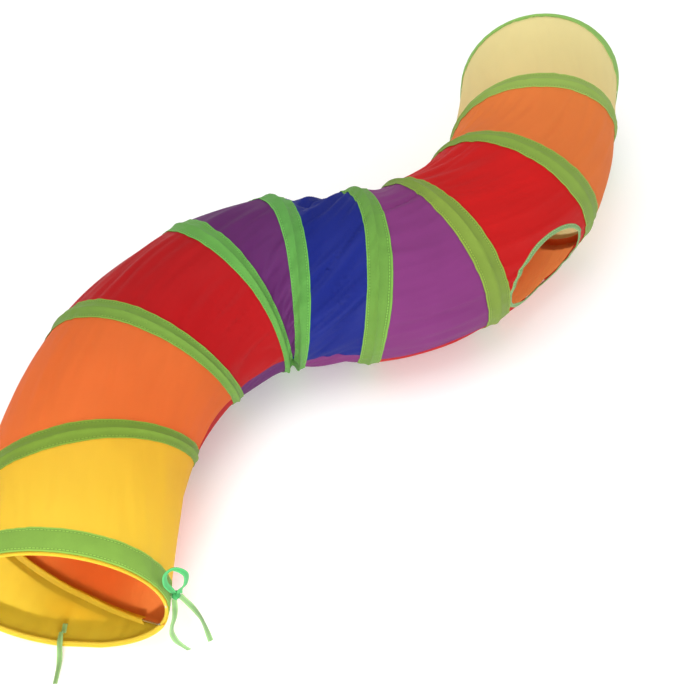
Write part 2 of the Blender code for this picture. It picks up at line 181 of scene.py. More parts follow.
# %% Sockets that can be added and multiplied
class Value:
    """A socket that can be used in sums."""

    def __init__(self, finish, socket):
        self.finish = finish
        self.socket = socket

    def maths(self, operation, first, second=0.0):
        return self.finish.node("ShaderNodeMath", {"operation": operation}, [first, second])

    def __add__(self, other):
        return self.maths("ADD", self, other)

    __radd__ = __add__

    def __mul__(self, other):
        return self.maths("MULTIPLY", self, other)

    __rmul__ = __mul__

    def __sub__(self, other):
        return self.maths("SUBTRACT", self, other)

    def __rsub__(self, other):
        return self.maths("SUBTRACT", other, self)

    def sine(self):
        return self.maths("SINE", self)

    def size(self):
        return self.maths("ABSOLUTE", self)

    def above(self, limit):
        return self.maths("GREATER_THAN", self, limit)

    def part_of(self, pitch):
        """How far through its repeat a pattern is, from 0 to 1."""
        return self.maths("FRACT", self * (1.0 / pitch))


class Finish:
    """A material under construction."""

    def __init__(self, name):
        self.material = bpy.data.materials.new(name)
        self.material.use_nodes = True
        self.tree = self.material.node_tree
        self.shader = self.tree.nodes["Principled BSDF"]

    def node(self, kind, settings, inputs, output=0):
        made = self.tree.nodes.new(kind)
        for key, setting in settings.items():
            setattr(made, key, setting)
        named = inputs.items() if isinstance(inputs, dict) else enumerate(inputs)
        for key, given in named:
            if isinstance(given, Value):
                self.tree.links.new(given.socket, made.inputs[key])
            else:
                made.inputs[key].default_value = given
        return Value(self, made.outputs[output])

    def mix(self, factor, first, second):
        return self.node(
            "ShaderNodeMix", {"data_type": "RGBA"}, {0: factor, 6: first, 7: second}, 2
        )

    def place(self):
        return self.node("ShaderNodeTexCoord", {}, {}, 3)

    def cloth_map(self):
        """Metres round the tunnel and metres along it."""
        flat = self.node("ShaderNodeUVMap", {"uv_map": "cloth"}, {})
        around = self.node("ShaderNodeSeparateXYZ", {}, [flat], 0)
        along = self.node("ShaderNodeSeparateXYZ", {}, [flat], 1)
        return around, along

    def clouds(self, scale, detail=3.0, roughness=0.5):
        return self.node(
            "ShaderNodeTexNoise",
            {},
            {"Vector": self.place(), "Scale": scale, "Detail": detail, "Roughness": roughness},
        )

    def set(self, **inputs):
        for name, given in inputs.items():
            socket = self.shader.inputs[name.replace("_", " ")]
            if isinstance(given, Value):
                self.tree.links.new(given.socket, socket)
            else:
                socket.default_value = given

    def bump(self, height, distance, strength=1.0):
        inputs = {"Height": height, "Distance": distance, "Strength": strength}
        self.set(Normal=self.node("ShaderNodeBump", {}, inputs))

    def let_light_through(self, colour, share):
        """Mixes in a translucent shader, for cloth thin enough to glow."""
        glow = self.node("ShaderNodeBsdfTranslucent", {}, {"Color": colour})
        both = self.node("ShaderNodeMixShader", {}, [share])
        links = self.tree.links
        links.new(self.shader.outputs[0], both.socket.node.inputs[1])
        links.new(glow.socket, both.socket.node.inputs[2])
        links.new(both.socket, self.tree.nodes["Material Output"].inputs[0])


def shade(colour, factor):
    return (*(min(1.0, channel * factor) for channel in colour), 1.0)


# %% [markdown]
# ## Taffeta
# Taffeta is a plain weave of very thin, shiny yarns. It is coated, so it has a soft gloss,
# and it is so thin that a lit wall glows on its other side. The yarns are drawn across the
# cloth's own map, so that they follow it round the tunnel. Light that comes through has
# passed both faces of the thin shell, so each face is given the square root of the colour.

# %% Taffeta finishes
CLOTH_COLOURS = {
    "yellow": (0.86, 0.66, 0.070),
    "orange": (0.86, 0.27, 0.068),
    "red": (0.54, 0.009, 0.012),
    "purple": (0.160, 0.030, 0.175),
    "blue": (0.010, 0.022, 0.25),
    "cream": (0.86, 0.78, 0.42),
    # The far colours are the same taffetas as the near ones, painted lighter: the difference is painted
    # light.
    "far_orange": (0.90, 0.32, 0.090),
    "far_red": (0.66, 0.014, 0.014),
    "far_purple": (0.29, 0.055, 0.25),
}
GLOWS = {"blue": 0.30, "purple": 0.42, "far_purple": 0.42, "red": 0.45, "far_red": 0.45}
USUAL_GLOW = 0.66
YARN_PITCH = 0.0009


def taffeta(name):
    colour = CLOTH_COLOURS[name]
    finish = Finish(name + "_taffeta")
    around, along = finish.cloth_map()
    yarns = (around * (math.tau / YARN_PITCH)).sine() * (along * (math.tau / YARN_PITCH)).sine()
    slubs = finish.node(
        "ShaderNodeTexNoise",
        {},
        {
            "Vector": finish.node("ShaderNodeCombineXYZ", {}, [around * 90.0, along * 1400.0]),
            "Scale": 1.0,
            "Detail": 2.0,
        },
    )
    wear = finish.clouds(14.0)
    tone = wear * 0.7 + slubs * 0.3
    base = finish.mix(tone, shade(colour, 0.84), shade(colour, 1.16))
    finish.set(Base_Color=base, Roughness=0.40 + wear * 0.14)
    finish.set(Sheen_Weight=0.03, Sheen_Roughness=0.4, Specular_IOR_Level=0.17)
    finish.shader.inputs["Sheen Tint"].default_value = shade(colour, 1.3)
    finish.bump(yarns * 0.5 + slubs, 0.00009, 0.6)
    once = [math.sqrt(channel) for channel in colour]
    finish.let_light_through(shade(once, 1.06), GLOWS.get(name, USUAL_GLOW))
    return finish.material


TAFFETAS = {name: taffeta(name) for name in CLOTH_COLOURS}
print("taffetas", sorted(TAFFETAS))

# %% [markdown]
# ## Tape, binding and ribbon
# The tape is a matt woven ribbon with a rib across it. Two rows of lock stitch hold it,
# a few millimetres in from its edges, and the folded edges catch more light than the middle.
# Along each stitch row the tape sinks into a groove, and painted shade darkens it there.

# %% Tape finishes
RIB_PITCH = 0.0011
STITCH_PITCH = 0.0042
STITCH_SHARE = 0.30
# One green tape runs over every turn. It is given a green for each turn, and the differences between
# these greens are painted light.
TAPE_GREENS_WITH_PAINTED_LIGHT = (
    (0.250, 0.36, 0.038),
    (0.170, 0.28, 0.028),
    (0.165, 0.30, 0.040),
    (0.115, 0.34, 0.058),
    (0.105, 0.34, 0.062),
    (0.135, 0.32, 0.050),
    (0.200, 0.30, 0.040),
    (0.200, 0.32, 0.045),
    (0.280, 0.42, 0.080),
    (0.300, 0.48, 0.100),
)
USUAL_GREEN = (0.16, 0.32, 0.05)
# The mouth bindings are the same green tape, and their greens hold painted light too; the far one is
# painted lightest.
NEAR_GREEN = (0.230, 0.42, 0.060)
FAR_GREEN = (0.300, 0.56, 0.130)
SAGE = (0.19, 0.34, 0.13)
EMERALD = (0.045, 0.30, 0.085)


def woven_tape(name, colour, width, rows, glow, last_colour=None):
    """Ribbed tape; rows are how far in from its edges its stitching runs.

    A tape with a last colour changes evenly to it over one turn.
    """
    finish = Finish(name)
    around, across = finish.cloth_map()
    turned = around * (1.0 / (math.tau * TUBE_RADIUS))

    def tint(strength):
        if last_colour is None:
            return shade(colour, strength)
        return finish.mix(turned, shade(colour, strength), shade(last_colour, strength))

    ribs = (around * (math.tau / RIB_PITCH)).sine()
    fuzz = finish.clouds(420.0, 2.0)
    wear = finish.clouds(22.0)
    edge = across.size().above(width / 2 - 0.0016)
    base = finish.mix(wear * 0.7 + fuzz * 0.3, tint(0.80), tint(1.20))
    base = finish.mix(edge * 0.55, base, tint(1.6))
    height = ribs * 0.35 + fuzz
    if rows:
        row = 1.0 - ((across.size() - (width / 2 - rows)).size()).above(0.00045)
        stitch = row * around.part_of(STITCH_PITCH).above(STITCH_SHARE)
        base = finish.mix(stitch * 0.75, base, tint(1.9))
        # Painted shade: the groove beside each stitch row is painted darker between the stitches, and
        # the same mask sinks the bump there.
        stitch_groove_and_shade = 1.0 - ((across.size() - (width / 2 - rows)).size()).above(0.0011)
        base = finish.mix(stitch_groove_and_shade * (1.0 - stitch) * 0.45, base, tint(0.5))
        height = height + stitch * 2.5 - stitch_groove_and_shade * 1.5
    finish.set(Base_Color=base, Roughness=0.62 + fuzz * 0.2)
    finish.set(Sheen_Weight=0.08, Sheen_Roughness=0.5, Specular_IOR_Level=0.2)
    finish.bump(height, 0.00016, 0.7)
    if glow:
        finish.let_light_through(shade(colour if last_colour is None else USUAL_GREEN, 1.2), glow)
    return finish.material


TAPES = [
    woven_tape(f"green_tape_{turn}", TAPE_GREENS_WITH_PAINTED_LIGHT[turn - 1], TAPE_WIDTH, 0.0035, 0.12, TAPE_GREENS_WITH_PAINTED_LIGHT[turn])
    for turn in range(1, len(TAPE_GREENS_WITH_PAINTED_LIGHT))
]
NEAR_TAPE = woven_tape("green_tape_near_mouth", NEAR_GREEN, TAPE_WIDTH, 0.0035, 0.12)
FAR_TAPE = woven_tape("green_tape_far_mouth", FAR_GREEN, TAPE_WIDTH, 0.0035, 0.2)
PEEPHOLE_TAPE = woven_tape("sage_peephole_binding", SAGE, 0.007, 0.0015, 0.0)
RIBBON = woven_tape("sage_ribbon", SAGE, 0.0065, 0.0, 0.0)
BOW_RIBBON = woven_tape("emerald_ribbon", EMERALD, 0.0065, 0.0, 0.0)
print("tapes along the coil", len(TAPES))

# %% [markdown]
# ## Spring wire and crimps
# The wire is drawn steel: bright, with fine scratches along it. The crimps are plated.


# %% Steel finishes
def drawn_steel(name, colour, roughness):
    finish = Finish(name)
    scratches = finish.clouds(900.0, 2.0)
    stains = finish.clouds(35.0)
    finish.set(Base_Color=finish.mix(stains, shade(colour, 0.75), shade(colour, 1.1)))
    finish.set(Metallic=1.0, Roughness=roughness + scratches * 0.15 + stains * 0.1)
    finish.bump(scratches, 0.00003, 0.5)
    return finish.material


SPRING_STEEL = drawn_steel("spring_steel", (0.52, 0.52, 0.54), 0.22)
CRIMP_STEEL = drawn_steel("crimp_steel", (0.70, 0.68, 0.62), 0.2)

# %% [markdown]
# ## Ribbon ties
# Two ribbons are sewn in at the near mouth, to hold the folded tunnel shut. One is tied in a
# loose bow at the side: a knot, a loop and two tails. The other lies on the floor under the rim.
# A ribbon is flat, so it is a strip swept along its route, turned to face outwards.

# %% Routes of the ribbons
RIBBON_WIDTH = 0.0065
RIBBON_THICKNESS = 0.0006
TIE_ROUTES = {
    "tie_bow_loop": (
        (0.1290, 0.0190, 0.1278),
        (0.1283, 0.0160, 0.1400),
        (0.1250, 0.0115, 0.1660),
        (0.1280, 0.0110, 0.1900),
        (0.1385, 0.0140, 0.1990),
        (0.1490, 0.0170, 0.1820),
        (0.1455, 0.0190, 0.1520),
        (0.1378, 0.0190, 0.1370),
        (0.1362, 0.0190, 0.1278),
    ),
    "tie_tail_front": (
        (0.1290, 0.0165, 0.1150),
        (0.1292, 0.0110, 0.1060),
        (0.1292, 0.0010, 0.1000),
        (0.1260, -0.0070, 0.0900),
        (0.1240, -0.0080, 0.0730),
        (0.1270, -0.0080, 0.0520),
        (0.1330, -0.0070, 0.0350),
        (0.1390, -0.0060, 0.0220),
    ),
    "tie_tail_side": (
        (0.1345, 0.0220, 0.1150),
        (0.1390, 0.0215, 0.1050),
        (0.1470, 0.0195, 0.0880),
        (0.1550, 0.0170, 0.0640),
        (0.1595, 0.0140, 0.0360),
        (0.1630, 0.0110, 0.0120),
    ),
    "tie_tail_floor": (
        (-0.0236, 0.0130, 0.0150),
        (-0.0236, 0.0040, 0.0148),
        (-0.0232, -0.0050, 0.0132),
        (-0.0222, -0.0160, 0.0072),
        (-0.0215, -0.0270, 0.0042),
        (-0.0220, -0.0500, 0.0038),
    ),
}


def catmull_rom(a, b, c, d, part):
    two, three = part * part, part * part * part
    bent = (2 * a - 5 * b + 4 * c - d) * two + (3 * b - a - 3 * c + d) * three
    return 0.5 * (2 * b + (c - a) * part + bent)


def smooth_route(points, steps=8):
    route = [MOUTH + Vector(point) for point in points]
    ends = [2 * route[0] - route[1], *route, 2 * route[-1] - route[-2]]
    fine = []
    for index in range(len(route) - 1):
        for step in range(steps):
            fine.append(catmull_rom(*ends[index : index + 4], step / steps))
    return fine + [route[-1]]


def length_of(points):
    return sum((b - a).length for a, b in zip(points, points[1:]))


# %% [markdown]
# ## Finishing a piece
# Every piece ends the same way: its edges over a set angle stay sharp and its material goes on.
# Cut cloth and tape are cleaned of slivers first, and many pieces are tied to the body they move with.


# %% From bmesh to object
SHARP_ANGLE = math.radians(48.0)
SLIVER = 0.0001


def make_object(name, bm, material, thickness=0.0):
    mesh = bpy.data.meshes.new(name)
    bm.to_mesh(mesh)
    bm.free()
    mesh.materials.append(material)
    mesh.shade_smooth()
    obj = bpy.data.objects.new(name, mesh)
    bpy.context.scene.collection.objects.link(obj)
    if thickness:
        give_thickness(obj, thickness)
    obj.data.set_sharp_from_angle(angle=SHARP_ANGLE)
    return obj


def give_thickness(obj, thickness):
    """Turns a one-layer cloth into a thin closed shell, growing inwards."""
    wall = obj.modifiers.new("wall", "SOLIDIFY")
    wall.thickness = thickness
    wall.offset = -1.0
    graph = bpy.context.evaluated_depsgraph_get()
    shell = bpy.data.meshes.new_from_object(obj.evaluated_get(graph))
    obj.modifiers.remove(wall)
    flat, obj.data = obj.data, shell
    bpy.data.meshes.remove(flat)
    shell.name = obj.name


def grid(columns, rows, place):
    """A grid whose points are set by a function of two shares, with its map in metres."""
    bm = bmesh.new()
    bmesh.ops.create_grid(bm, x_segments=columns, y_segments=rows, size=1.0)
    layer = bm.loops.layers.uv.new("cloth")
    flat = {}
    for vert in bm.verts:
        first = round((vert.co.x + 1) / 2 * columns) / columns
        second = round((vert.co.y + 1) / 2 * rows) / rows
        vert.co, flat[vert] = place(first, second)
    for face in bm.faces:
        for loop in face.loops:
            loop[layer].uv = flat[loop.vert]
    return bm


def drop_slivers(bm):
    bmesh.ops.remove_doubles(bm, verts=bm.verts, dist=SLIVER)
    bmesh.ops.dissolve_degenerate(bm, edges=bm.edges, dist=SLIVER)


# %% Ribbons
RIBBON_FACING = {
    "tie_bow_loop": Vector((0.35, -1.0, 0.2)),
    "tie_tail_front": Vector((0.5, -1.0, 0.3)),
    "tie_tail_side": Vector((1.0, -0.7, 0.3)),
    "tie_tail_floor": Vector((0.0, 0.0, 1.0)),
}


def ribbon(name):
    """A flat ribbon along a route; it twists gently, as a cut ribbon does."""
    points = smooth_route(TIE_ROUTES[name])
    length = length_of(points)
    facing = RIBBON_FACING[name].normalized()
    count = len(points) - 1
    across_count = 4

    def place(first, second):
        index = round(first * count)
        before, after = points[max(index - 1, 0)], points[min(index + 1, count)]
        along = (after - before).normalized()
        twist = 0.5 * math.sin(first * 7.0 + len(name))
        side = Matrix.Rotation(twist, 3, along) @ along.cross(facing).normalized()
        face_out = side.cross(along)
        offset = (second - 0.5) * RIBBON_WIDTH
        cup = 0.0006 * (1 - (2 * second - 1) ** 2)
        point = points[index] + side * offset + face_out * cup
        point.z = max(point.z, RIBBON_THICKNESS)
        return point, (first * length, offset)

    bm = grid(count, across_count, place)
    material = BOW_RIBBON if name == "tie_bow_loop" else RIBBON
    obj = make_object(name + "_ribbon", bm, material, RIBBON_THICKNESS)
    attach(obj, "near_mouth")
    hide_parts(name)
    return obj, points, length


TIES = {name: ribbon(name) for name in TIE_ROUTES}
for name, (_, _, length) in TIES.items():
    print(name, "is", round(length * 1000), "mm long")

# %% [markdown]
# ## The knot
# The knot is three wraps of ribbon pulled tight. A ball with grooves spun into it reads as
# wraps.


# %% Knot
def knot():
    low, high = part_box("tie_knot")
    centre, size = (low + high) / 2, (high - low)
    bm = bmesh.new()
    bmesh.ops.create_uvsphere(bm, u_segments=48, v_segments=32, radius=0.5)
    bm.loops.layers.uv.new("cloth")
    for vert in bm.verts:
        wraps = 0.035 * math.sin(vert.co.z * 26.0 + vert.co.x * 9.0)
        pinch = 0.09 * math.exp(-((vert.co.z * 7.0) ** 2))
        vert.co += vert.co.normalized() * (wraps - pinch)
        vert.co = Vector((vert.co.x * size.x, vert.co.y * size.y, vert.co.z * size.z))
    bmesh.ops.rotate(bm, verts=bm.verts, matrix=Matrix.Rotation(0.5, 3, "Y"))
    bmesh.ops.translate(bm, verts=bm.verts, vec=centre)
    obj = make_object("tie_knot_wraps", bm, BOW_RIBBON)
    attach(obj, "near_mouth")
    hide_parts("tie_knot")
    return obj


knot_piece = knot()

for name, (obj, points, length) in TIES.items():
    [knot_piece] if name == "tie_bow_loop" else ()

# %% [markdown]
# ## Where the wire runs
# Each turn of the coil climbs from one fold plane to the next, and leans with the tunnel's bends.
# A colour fills the space between two turns, from its seam low on the right round to itself.


# %% Coil and colour edges
def lean(place, angle):
    low = min(int(place), TURNS - 1)
    part = place - low
    right = RIGHT_LEANS[low] * (1 - part) + RIGHT_LEANS[low + 1] * part
    top = TOP_LEANS[low] * (1 - part) + TOP_LEANS[low + 1] * part
    turn = math.radians(angle)
    return right * math.sin(turn) + top * (math.cos(turn) - 1)


def turn_span(turn):
    first = SEAM_ANGLES[0] if turn == 1 else 0.0
    last = FAR_JOIN_ANGLE if turn == TURNS else FULL_TURN
    return first, last


def coil(turn, angle):
    first, last = turn_span(turn)
    part = (angle - first) / (last - first)
    return STATIONS[turn - 1] + part * LENGTHS[turn - 1] + lean(turn - 1 + part, angle)


def far_rim(angle):
    return TUBE_LENGTH + lean(TURNS, angle)


def below_panel(panel, angle):
    if panel == 1:
        return lean(0, angle)
    if angle < FULL_TURN:
        return coil(panel - 1, angle)
    return coil(panel, angle - FULL_TURN)


def above_panel(panel, angle):
    if panel > TURNS:
        return far_rim(angle)
    if angle < FULL_TURN:
        if panel == TURNS and angle > FAR_JOIN_ANGLE:
            return far_rim(angle)
        return coil(panel, angle)
    if panel == TURNS:
        return far_rim(angle - FULL_TURN)
    return coil(panel + 1, angle - FULL_TURN)


# %% [markdown]
# ## How the cloth hangs
# Between two turns of wire the cloth sags inwards, most of all at the top, where its weight
# pulls it off the wire. Where the tunnel is squeezed it creases: along the tunnel in the
# purple and red, and on the slant in the short, twisted blue. Small puckers start at the
# stitching. Creases and puckers are smooth noise, so they are the same every time. In a few
# named places the cloth is also pinched in.

# %% Sag, creases and puckers
SAGS = (0.0018, 0.0020, 0.0022, 0.0026, 0.0070, 0.0030, 0.0026, 0.0022, 0.0018, 0.0012)
CREASES = (0.0030, 0.0038, 0.0062, 0.0056, 0.0160, 0.0085, 0.0078, 0.0056, 0.0028, 0.0014)
SLANTS = (0.25, 0.10, 0.10, 0.35, 1.25, 0.30, -0.20, -0.40, 0.30, 0.0)
CREASE_PITCH = 0.030
PUCKER_PITCH = 0.0085
PUCKER_DEPTH = 0.0014
PUCKER_REACH = 0.018

# Places where the squeezed cloth is pinched: colour, angle, share of width, reach, depth
PINCHES = (
    (5, 325.0, 0.22, 0.020, 0.016),
    (5, 118.0, 0.30, 0.022, 0.018),
    (4, 250.0, 0.50, 0.030, 0.006),
    (6, 160.0, 0.55, 0.030, 0.006),
)


def between_panels(values, panel, angle):
    """A value that drifts from one colour's to the next's as the strip winds on."""
    place = panel - 1.5 + (angle - SEAM_ANGLES[min(panel, TURNS) - 1]) / FULL_TURN
    place = min(max(place, 0.0), len(values) - 1.001)
    low = int(place)
    return values[low] * (1 - (place - low)) + values[low + 1] * (place - low)


def sag_depth(panel, angle, part, width):
    """How far the cloth lies inside the tunnel's full radius."""
    waist = math.sin(math.pi * min(max(part, 0.0), 1.0))
    top = (1 + math.cos(math.radians(angle))) / 2
    depth = between_panels(SAGS, panel, angle) * waist * (0.25 + 0.75 * top)
    around = math.radians(angle + FULL_TURN * panel) * TUBE_RADIUS
    along = part * width
    slanted = around + between_panels(SLANTS, panel, angle) * along
    fold = noise.noise(Vector((slanted / CREASE_PITCH, along / 0.16, 3.1)))
    finer = noise.noise(Vector((slanted / CREASE_PITCH * 2.3, along / 0.09, 7.7)))
    crease = 1.0 - min(1.0, abs(fold) * 3.2)
    softly = 0.5 + 0.5 * noise.noise(Vector((around / 0.11, along / 0.09, 11.3)))
    depth += between_panels(CREASES, panel, angle) * waist**0.6 * (
        0.55 * crease * crease * softly + 0.45 * (0.5 + finer) + 0.35 * fold
    )
    for pinched, middle, share, reach, deep in PINCHES:
        if pinched == panel:
            off = math.hypot(math.radians(angle - middle) * TUBE_RADIUS, (part - share) * width)
            depth += deep * waist * math.exp(-((off / reach) ** 2))
    edge = min(part, 1 - part) * width
    pucker = 0.5 + 0.5 * noise.noise(Vector((around / PUCKER_PITCH, edge / 0.05, 17.9)))
    reach = math.exp(-max(edge, 0.0) / PUCKER_REACH) * min(1.0, max(edge, 0.0) / 0.004)
    return max(0.0, depth) + PUCKER_DEPTH * pucker * reach


def cloth_place(panel, angle, part):
    """A point of a colour's cloth, and its place on the cut-out piece in metres."""
    low, high = below_panel(panel, angle), above_panel(panel, angle)
    s = low + (high - low) * part
    index = stretch_at(s)
    bend = 0.0 if BENDS[index] == 0.0 else 1.0 / arc_radius(index)
    stretch = 1 - bend * TUBE_RADIUS * math.sin(math.radians(angle))
    depth = sag_depth(panel, angle, part, high - low)
    around = math.radians(angle) * TUBE_RADIUS
    return tube_point(s, angle, TUBE_RADIUS - depth), (around, (s - low) * stretch)


# %% [markdown]
# ## Pieces that fold
# Every colour's wire, tape and cloth closes up when its joint folds. A piece can bend between
# two bodies only, so cloth that runs over a fold plane is cut there.
# The two edges lie exactly on each other, so nothing shows.
# A bent stretch closes about the middle of its bend, so the share that a point moves by is
# its angle round that middle. A straight one closes along its own length.


# %% Cutting at the fold planes
SMALLEST_PART = 2e-5
CLOTH_THICKNESS = 0.0004
CLOTH_CELL = 0.0032


def cut(bm, plane, keep_beyond):
    place, heading = PLANES[plane]
    bmesh.ops.bisect_plane(
        bm,
        geom=bm.verts[:] + bm.edges[:] + bm.faces[:],
        dist=1e-6,
        plane_co=place,
        plane_no=heading_vector(heading),
        clear_inner=keep_beyond,
        clear_outer=not keep_beyond,
    )


def share_along(stretch, point):
    """How far through a stretch a point is, from 0 to 1."""
    place, heading = PLANES[stretch - 1]
    if BENDS[stretch - 1] == 0.0:
        share = (point - place).dot(heading_vector(heading)) / LENGTHS[stretch - 1]
    else:
        radius = arc_radius(stretch - 1)
        centre = place + right_vector(heading) * radius
        arm = (point - centre) * (-1 if radius > 0 else 1)
        forward, sideways = arm.dot(heading_vector(heading)), arm.dot(right_vector(heading))
        turned = math.atan2(-forward if radius > 0 else forward, sideways)
        share = math.degrees(turned) / abs(BENDS[stretch - 1])
    return min(max(share, 0.0), 1.0)


def follow_fold(obj, stretch):
    """Bakes a piece's place into its mesh and finds how far through its stretch each point lies."""
    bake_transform(obj)
    shares = [share_along(stretch, vert.co) for vert in obj.data.vertices]


SUFFIXES = {-1: "_start", 0: "", 1: "_end"}


def folding_pieces(name, bm, number, material, slot, thickness, *nodes):
    """Cuts a one-layer cloth at the fold planes and makes each part a thin shell."""
    made = []
    for stretch in range(max(1, number - 1), min(TURNS, number + 1) + 1):
        part = bm.copy()
        if stretch > max(1, number - 1):
            cut(part, stretch - 1, keep_beyond=True)
        if stretch < min(TURNS, number + 1):
            cut(part, stretch, keep_beyond=False)
        if sum(face.calc_area() for face in part.faces) < SMALLEST_PART:
            part.free()
            continue
        drop_slivers(part)
        obj = make_object(name + SUFFIXES[stretch - number], part, material, thickness)
        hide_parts(*nodes)
        follow_fold(obj, stretch)
        made.append(obj)
    bm.free()
    return made

# %% [markdown]
# ## The nine colours
# Each colour is a fine grid laid between its two edges. The far red has the peephole: the
# grid's faces inside it are taken out, and the edge that is left is drawn onto a smooth oval.

# %% Peephole's oval
PEEPHOLE_PANEL = 7
PEEPHOLE_S = 0.9125
PEEPHOLE_ANGLE = 89.0
PEEPHOLE_HALF_LENGTH = 0.083
PEEPHOLE_HALF_HEIGHT = 0.056
PEEPHOLE_SEARCH_LENGTH = 0.12
PEEPHOLE_SEARCH_ANGLE = 60.0
PEEPHOLE_CUT = 0.96
PEEPHOLE_DRAWN = 1.15


def peephole_stretch(angle):
    sideways = TUBE_RADIUS * math.sin(math.radians(angle))
    return 1 - sideways / arc_radius(PEEPHOLE_PANEL - 1)


def on_oval(s, angle):
    """Forward and upward from the oval's middle, as shares of its half sizes."""
    forward = (s - PEEPHOLE_S) * peephole_stretch(angle) / PEEPHOLE_HALF_LENGTH
    upward = math.sin(math.radians(PEEPHOLE_ANGLE - angle)) * TUBE_RADIUS / PEEPHOLE_HALF_HEIGHT
    return forward, upward


def from_oval(forward, upward):
    lift = upward * PEEPHOLE_HALF_HEIGHT / TUBE_RADIUS
    angle = PEEPHOLE_ANGLE - math.degrees(math.asin(lift))
    return PEEPHOLE_S + forward * PEEPHOLE_HALF_LENGTH / peephole_stretch(angle), angle


def panel_for(s, angle):
    """The colour, the angle in its winding, and the share of its width, at a place."""
    for panel in range(PEEPHOLE_PANEL - 1, PEEPHOLE_PANEL + 2):
        for wound in (angle, angle + FULL_TURN):
            start = SEAM_ANGLES[panel - 1]
            if start <= wound <= SEAM_ANGLES[panel] + FULL_TURN:
                low, high = below_panel(panel, wound), above_panel(panel, wound)
                if low <= s <= high:
                    return panel, wound, (s - low) / (high - low)
    return None


print("peephole", round(PEEPHOLE_HALF_LENGTH * 2000), "by", round(PEEPHOLE_HALF_HEIGHT * 2000), "mm")


# %% Colours
def cut_oval(bm, spots):
    """Takes the peephole out of the far red, and draws its edge onto the oval."""
    reach = {}
    for vert, (s, angle) in spots.items():
        if abs(s - PEEPHOLE_S) >= PEEPHOLE_SEARCH_LENGTH:
            continue
        if abs(angle - PEEPHOLE_ANGLE - FULL_TURN) < PEEPHOLE_SEARCH_ANGLE:
            reach[vert] = on_oval(s, angle - FULL_TURN)
        elif abs(angle - PEEPHOLE_ANGLE) < PEEPHOLE_SEARCH_ANGLE:
            reach[vert] = on_oval(s, angle)
    inside = [vert for vert, place in reach.items() if math.hypot(*place) < PEEPHOLE_CUT]
    bmesh.ops.delete(bm, geom=inside, context="VERTS")
    for vert, place in reach.items():
        if not vert.is_valid or not vert.is_boundary or math.hypot(*place) > PEEPHOLE_DRAWN:
            continue
        far = math.hypot(*place)
        vert.co = on_cloth(*from_oval(place[0] / far, place[1] / far))


def on_cloth(s, angle, lift=0.0):
    """A point on the cloth near the peephole, lifted outwards by a little."""
    panel, wound, part = panel_for(s, angle)
    width = above_panel(panel, wound) - below_panel(panel, wound)
    return tube_point(s, angle, TUBE_RADIUS - sag_depth(panel, wound, part, width) + lift)


def panel(number):
    first = SEAM_ANGLES[min(number, TURNS) - 1]
    last = SEAM_ANGLES[min(number, TURNS - 1)] + FULL_TURN
    if number > TURNS:
        last = FAR_JOIN_ANGLE - 1.0
    colour = COLOURS[min(number, TURNS) - 1]
    around = math.radians(last - first) * TUBE_RADIUS
    widest = max(above_panel(number, a) - below_panel(number, a) for a in (150, 200, 240))
    columns, rows = round(around / CLOTH_CELL), max(4, round(widest / CLOTH_CELL))
    spots = []

    def place(first_share, second_share):
        angle = first + (last - first) * first_share
        low, high = below_panel(number, angle), above_panel(number, angle)
        spots.append((low + (high - low) * second_share, angle))
        return cloth_place(number, angle, second_share)

    bm = grid(columns, rows, place)
    if number == PEEPHOLE_PANEL:
        cut_oval(bm, dict(zip(bm.verts, spots)))
    name = f"panel_{number}_{colour}" if number <= TURNS else "panel_9_cream_tail"
    # The far half takes the lighter copy of its colour, which holds painted light.
    far = "far_" + colour
    material = TAFFETAS[far if number > TURNS / 2 and far in TAFFETAS else colour]
    return folding_pieces(
        name, bm, min(number, TURNS), material, colour + "_cloth", CLOTH_THICKNESS, name
    )


CLOTHS = {}
for number in range(1, TURNS + 2):
    CLOTHS[number] = panel(number)
    print("panel", number, "in", len(CLOTHS[number]), "parts")


LEAST_FILL = 0.35
NARROWEST = 0.0101


def declare_cloth(obj):
    """The flat size of one part of a colour, from the cloth's own map."""
    flat = obj.data.uv_layers["cloth"].data
    around = [loop.uv.x for loop in flat]
    along = [loop.uv.y for loop in flat]
    area = sum(face.area for face in obj.data.polygons) / 2
    length = max(around) - min(around)
    width = max(min(max(along) - min(along), area / LEAST_FILL / length), NARROWEST)
    cut_area = min(max(area, 0.3 * width * length), width * length)
    return width, length


for number, parts in CLOTHS.items():
    for obj in parts:
        size = declare_cloth(obj)
        print(obj.name, "flat", round(size[0] * 100, 1), "by", round(size[1] * 100, 1), "cm")

# %% [markdown]
# ## Tape over the wire
# The tape bridges the wire, so it rises to a rounded ridge along its middle and lies down on
# the cloth at its edges. It follows the cloth's sag, because it is sewn to it.

# %% Coil tapes
TAPE_THICKNESS = 0.0007
TAPE_LIFT = 0.0013
RIDGE_HEIGHT = 0.0014
RIDGE_HALF_WIDTH = 0.0046
TAPE_CELL = 0.0034
TAPE_ROWS = 14


def cloth_depth_by(turn, s, angle):
    """The cloth's depth just before or after a turn of the coil."""
    if s < coil(turn, angle):
        panel = turn if angle >= SEAM_ANGLES[turn - 1] else turn - 1
        wound = angle if angle >= SEAM_ANGLES[turn - 1] else angle + FULL_TURN
    elif turn == TURNS:
        panel = TURNS + 1 if angle >= SEAM_ANGLES[-1] else TURNS
        wound = angle if angle >= SEAM_ANGLES[-1] else angle + FULL_TURN
    else:
        panel = turn + 1 if angle >= SEAM_ANGLES[turn] else turn
        wound = angle if angle >= SEAM_ANGLES[turn] else angle + FULL_TURN
    low, high = below_panel(panel, wound), above_panel(panel, wound)
    width = max(high - low, 1e-4)
    return sag_depth(panel, wound, min(max((s - low) / width, 0.0), 1.0), width)


def far_binding_width(angle):
    turn = math.radians(angle)
    return 0.022 + 0.006 * math.sin(turn) - 0.017 * math.cos(turn)


